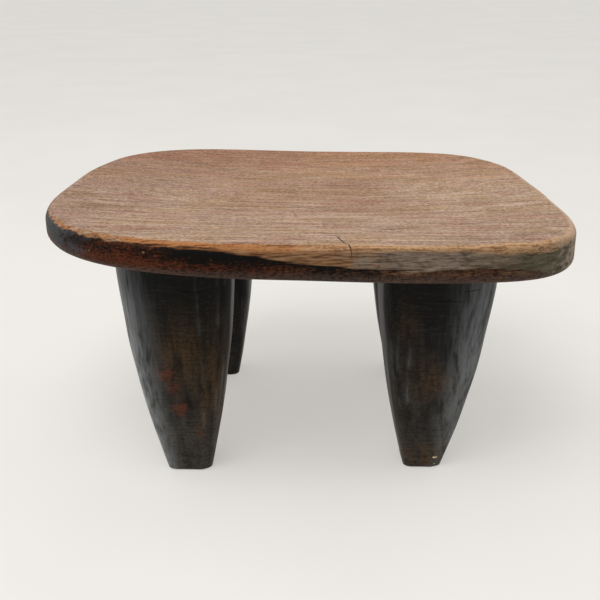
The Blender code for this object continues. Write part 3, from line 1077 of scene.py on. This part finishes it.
def stained_leg_wood(colours):
    """The same hardwood cut with a knife, smoked and oiled near black, rubbed through on its swells.

    The eye sees upright knife strokes, level grain lines and painted shade under the seat, and a
    satin gleam at the sides that is partly painted in grey on one corner.
    """
    material, tree, shader, place = new_material("black_stained_knife_cut_hardwood")
    _, _, height = add_node(tree, "SeparateXYZ", {"Vector": place}).outputs
    worn = {name: add_node(tree, "Attribute", attribute_name=name).outputs["Fac"] for name in LEG_LAYERS}
    grain = SimpleNamespace(**{name: pattern(tree, place, name) for name in LEG_GRAIN})

    # darkest under the seat, partly as painted shade there; paler towards the foot, as thinner stain and
    # painted floor light, and paler on the strokes' ridges
    thin = weighted_sum(tree, ((height, -4.2), (grain.stroke, 0.9), (grain.cloud, 0.5)))
    color = lay_over(tree, colours.stain, colours.stain_thin, thin, 0.10, 0.75)

    # rubbed brown and red in patches
    brown = kept_where(tree, worn["brown"], grain.stroke, 0.30, 0.60)
    color = add_node(tree, "MixRGB", {"Fac": brown, "Color1": color, "Color2": colours.leg_brown})
    flecks = weighted_sum(tree, ((worn["red"], 0.8), (grain.smudge, 1.4), (grain.grit, 0.4)))
    color = lay_over(tree, color, colours.stain_red, flecks, 1.05, 1.62, 0.85)

    # grit and short fibres all over, and level streaks and grain lines under the seat
    rough_cut = weighted_sum(tree, ((grain.grit, 0.3), (grain.fibre, 0.4), (grain.streak, 0.3)))
    color = lay_over(tree, color, colours.stain, rough_cut, 0.57, 0.38, 0.75)
    level = weighted_sum(tree, ((grain.streak, 0.6), (grain.fibre, 0.4)))
    level = kept_where(tree, level, height, 0.06, 0.13)
    color = lay_over(tree, color, colours.stain_thin, level, 0.50, 0.70, 0.4)
    lines = kept_where(tree, grain.line, height, 0.09, 0.15)
    color = lay_over(tree, color, colours.stain, lines, 0.52, 0.64, 0.8)

    # grey along the outer corner, as rubbed stain and a painted sheen,
    # and rubbed grey on the edges of the cuts
    nicks = weighted_sum(tree, ((grain.stroke, 0.6), (grain.nick, 0.4)))
    corner = kept_where(tree, worn["corner"], nicks, 0.28, 0.60)
    color = add_node(tree, "MixRGB", {"Fac": corner, "Color1": color, "Color2": colours.grey_wear_and_sheen})
    ridge = kept_where(tree, worn["edge"], grain.cloud, 0.45, 0.70, 0.3)
    color = add_node(tree, "MixRGB", {"Fac": ridge, "Color1": color, "Color2": colours.grey_wear_and_sheen})

    relief = weighted_sum(tree, ((grain.stroke, 1.0), (grain.fibre, 0.3), (grain.grit, 0.2)))
    rough = weighted_sum(tree, ((grain.stroke, -GRAIN_POLISH), (LEG_ROUGHNESS, 1.0)))
    finish(tree, shader, color, rough, relief)
    shader.inputs["IOR"].default_value = LEG_IOR
    shader.inputs["Specular IOR Level"].default_value = LEG_GLOSS
    return material


def crack_dirt(colours):
    """Old dirt packed into a drying crack: matt, dark and crumbly."""
    material, tree, shader, place = new_material("old_dirt_in_cracks")
    crumbs = pattern(tree, place, "crumbs")
    color = lay_over(tree, colours.crack, colours.stain_brown, crumbs, 0.4, 0.65)
    rough = weighted_sum(tree, ((crumbs, 0.1), (DIRT_ROUGHNESS, 1.0)))
    finish(tree, shader, color, rough, crumbs)
    return material


def chipped_wood(name, pale, dark):
    """Wood laid bare by a knock: dry and torn along the grain."""
    material, tree, shader, place = new_material(name)
    torn = pattern(tree, place, "torn")
    color = lay_over(tree, pale, dark, torn, 0.40, 0.75, 0.4)
    rough = weighted_sum(tree, ((torn, 0.2), (TORN_ROUGHNESS, 1.0)))
    finish(tree, shader, color, rough, torn)
    return material


def seen_by_eye(tree):
    """1 for rays that the eye follows, straight or by a gloss or a glass, 0 for light on the stool."""
    path = add_node(tree, "LightPath").outputs
    seen = path["Is Camera Ray"]
    for kind in ("Is Glossy Ray", "Is Transmission Ray"):
        seen = add_node(tree, "Math", {0: seen, 1: path[kind]}, operation="MAXIMUM")
    return seen


def floor_paper(colours):
    """Matt paper sheet: pale and faintly mottled. It glows a little for the eye, so shadows stay soft."""
    material, tree, shader, place = new_material("matt_backdrop_paper")
    mottle = pattern(tree, place, "paper")
    shade = lay_over(tree, colours.floor, colours.floor_mottle, mottle, 0.3, 0.7, 0.05)
    tree.links.new(shade.outputs[0], shader.inputs["Base Color"])
    shader.inputs["Roughness"].default_value = PAPER_ROUGHNESS
    share = add_node(tree, "Math", {0: seen_by_eye(tree), 1: PAPER_GLOW}, operation="MULTIPLY")
    glow = add_node(tree, "Emission", {"Color": shade})
    mixed = add_node(tree, "MixShader", {0: share, 1: shader, 2: glow})
    tree.links.new(mixed.outputs[0], tree.nodes["Material Output"].inputs["Surface"])
    return material


def make_floor(colours):
    """Pale sheet that lies flat and bends down over the front edge of the table."""
    profile = [(y, 0.0) for y in SHEET_ROWS]
    for turn in np.linspace(0.0, math.pi / 2.0, SHEET_BEND_ROWS):
        profile.append((SHEET_FRONT - SHEET_BEND * math.sin(turn), SHEET_BEND * (math.cos(turn) - 1.0)))
    profile.append((SHEET_FRONT - SHEET_BEND, -SHEET_DROP))
    bm = bmesh.new()
    edges = (-SHEET_WIDTH / 2.0, SHEET_WIDTH / 2.0)
    rows = [[bm.verts.new((x, y, z)) for x in edges] for y, z in profile]
    for back, front in zip(rows, rows[1:]):
        bm.faces.new((back[0], front[0], front[1], back[1]))
    mesh = bpy.data.meshes.new("floor_sheet")
    bm.to_mesh(mesh)
    bm.free()
    mesh.shade_smooth()
    mesh.materials.append(floor_paper(colours))
    sheet = bpy.data.objects.new("floor_sheet", mesh)
    bpy.context.scene.collection.objects.link(sheet)
    return sheet


def add_panel(name, place, aim, size, power):
    """Square soft panel light at a place, turned to the point that it aims at."""
    light = bpy.data.lights.new(name, "AREA")
    light.shape = "SQUARE"
    light.size = size
    light.energy = power
    panel = bpy.data.objects.new(name, light)
    panel.location = place
    panel.rotation_euler = (Vector(aim) - Vector(place)).to_track_quat("-Z", "Y").to_euler()
    bpy.context.scene.collection.objects.link(panel)
    return panel


def add_camera():
    """Camera where the photo was taken from."""
    back = Vector((
        math.sin(CAMERA_AZIMUTH) * math.cos(CAMERA_ELEVATION),
        -math.cos(CAMERA_AZIMUTH) * math.cos(CAMERA_ELEVATION),
        math.sin(CAMERA_ELEVATION),
    ))
    data = bpy.data.cameras.new("photo_camera")
    data.lens = CAMERA_LENS
    data.sensor_width = SENSOR_WIDTH
    camera = bpy.data.objects.new("photo_camera", data)
    camera.location = CAMERA_TARGET + back * CAMERA_DISTANCE
    turn = (-back).to_track_quat("-Z", "Y").to_matrix()
    camera.rotation_euler = (turn @ Matrix.Rotation(CAMERA_ROLL, 3, "Z")).to_euler()
    bpy.context.scene.collection.objects.link(camera)
    bpy.context.scene.camera = camera


def add_sky():
    """Pale light from all round, dim in front by the camera, with a plain pale ground for the eye."""
    world = bpy.data.worlds.new("studio_sky")
    bpy.context.scene.world = world
    world.use_nodes = True
    tree = world.node_tree
    background = tree.nodes["Background"]
    heading = add_node(tree, "SeparateXYZ", {"Vector": add_node(tree, "TexCoord").outputs["Generated"]})
    turn = {"Value": heading.outputs["Y"], "From Min": SKY_DIM_UNTIL, "From Max": SKY_FULL_FROM}
    strength = {"To Min": SKY_FRONT, "To Max": SKY_BACK}
    around = add_node(tree, "MapRange", turn | strength, interpolation_type="SMOOTHSTEP")
    pale = (SKY_SEEN, SKY_SEEN, SKY_SEEN, 1.0)
    light = add_node(tree, "MixRGB", {"Fac": seen_by_eye(tree), "Color1": around, "Color2": pale})
    tree.links.new(light.outputs[0], background.inputs["Color"])
    background.inputs["Strength"].default_value = 1.0


class STOOL_OT_add_seat(bpy.types.Operator):
    """Add the worn, saddled seat"""

    bl_idname = "stool.add_seat"
    bl_label = "Add Seat"

    def execute(self, context):
        """Build the seat in place of the plain slab."""
        seat = make_seat(context.scene.stool_sizes, context.scene.stool_colours)
        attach(seat, "root")
        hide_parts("seat")
        return {"FINISHED"}


class STOOL_OT_add_legs(bpy.types.Operator):
    """Add the four knife-cut legs"""

    bl_idname = "stool.add_legs"
    bl_label = "Add Legs"

    def execute(self, context):
        """Build each leg in place of the plain one."""
        sizes = context.scene.stool_sizes
        colours = context.scene.stool_colours
        chip = chipped_wood("torn_pale_sapwood", colours.chip, colours.rim_tan)
        materials = (stained_leg_wood(colours), crack_dirt(colours), chip)
        for name, leg in LEGS.items():
            piece = make_leg(name, leg, sizes, materials)
            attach(piece, "root")
            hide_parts(name)
        return {"FINISHED"}


class STOOL_OT_add_stage(bpy.types.Operator):
    """Add the pale studio floor, the light and the camera"""

    bl_idname = "stool.add_stage"
    bl_label = "Add Stage"

    def execute(self, context):
        """Build the studio round the stool."""
        make_floor(context.scene.stool_colours)
        add_panel("front_panel", PANEL_PLACE, PANEL_AIM, PANEL_SIZE, PANEL_POWER)
        add_sky()
        add_camera()
        context.scene.view_settings.view_transform = "Standard"
        return {"FINISHED"}


class STOOL_PT_sidebar(bpy.types.Panel):
    """Sizes and colours of the stool, and the buttons that build it"""

    bl_idname = "STOOL_PT_sidebar"
    bl_label = "Carved Stool"
    bl_space_type = "VIEW_3D"
    bl_region_type = "UI"
    bl_category = "Stool"

    def draw(self, context):
        """List every size and colour, then the operators."""
        for group in (context.scene.stool_sizes, context.scene.stool_colours):
            column = self.layout.column()
            for name in group.__annotations__:
                column.prop(group, name)
        for operator in ("stool.add_seat", "stool.add_legs", "stool.add_stage"):
            self.layout.operator(operator)


CLASSES = (
    StoolSizes,
    StoolColours,
    STOOL_OT_add_seat,
    STOOL_OT_add_legs,
    STOOL_OT_add_stage,
    STOOL_PT_sidebar,
)


def register():
    """Register the classes and give each scene its sizes and colours."""
    for entry in CLASSES:
        bpy.utils.register_class(entry)
    bpy.types.Scene.stool_sizes = bpy.props.PointerProperty(type=StoolSizes)
    bpy.types.Scene.stool_colours = bpy.props.PointerProperty(type=StoolColours)


def unregister():
    """Take the sizes, the colours and the classes away again."""
    del bpy.types.Scene.stool_colours
    del bpy.types.Scene.stool_sizes
    for entry in reversed(CLASSES):
        bpy.utils.unregister_class(entry)


def main():
    """Build the stool and its stage."""
    register()
    bpy.ops.stool.add_seat()
    bpy.ops.stool.add_legs()
    bpy.ops.stool.add_stage()


if __name__ == "__main__":
    main()
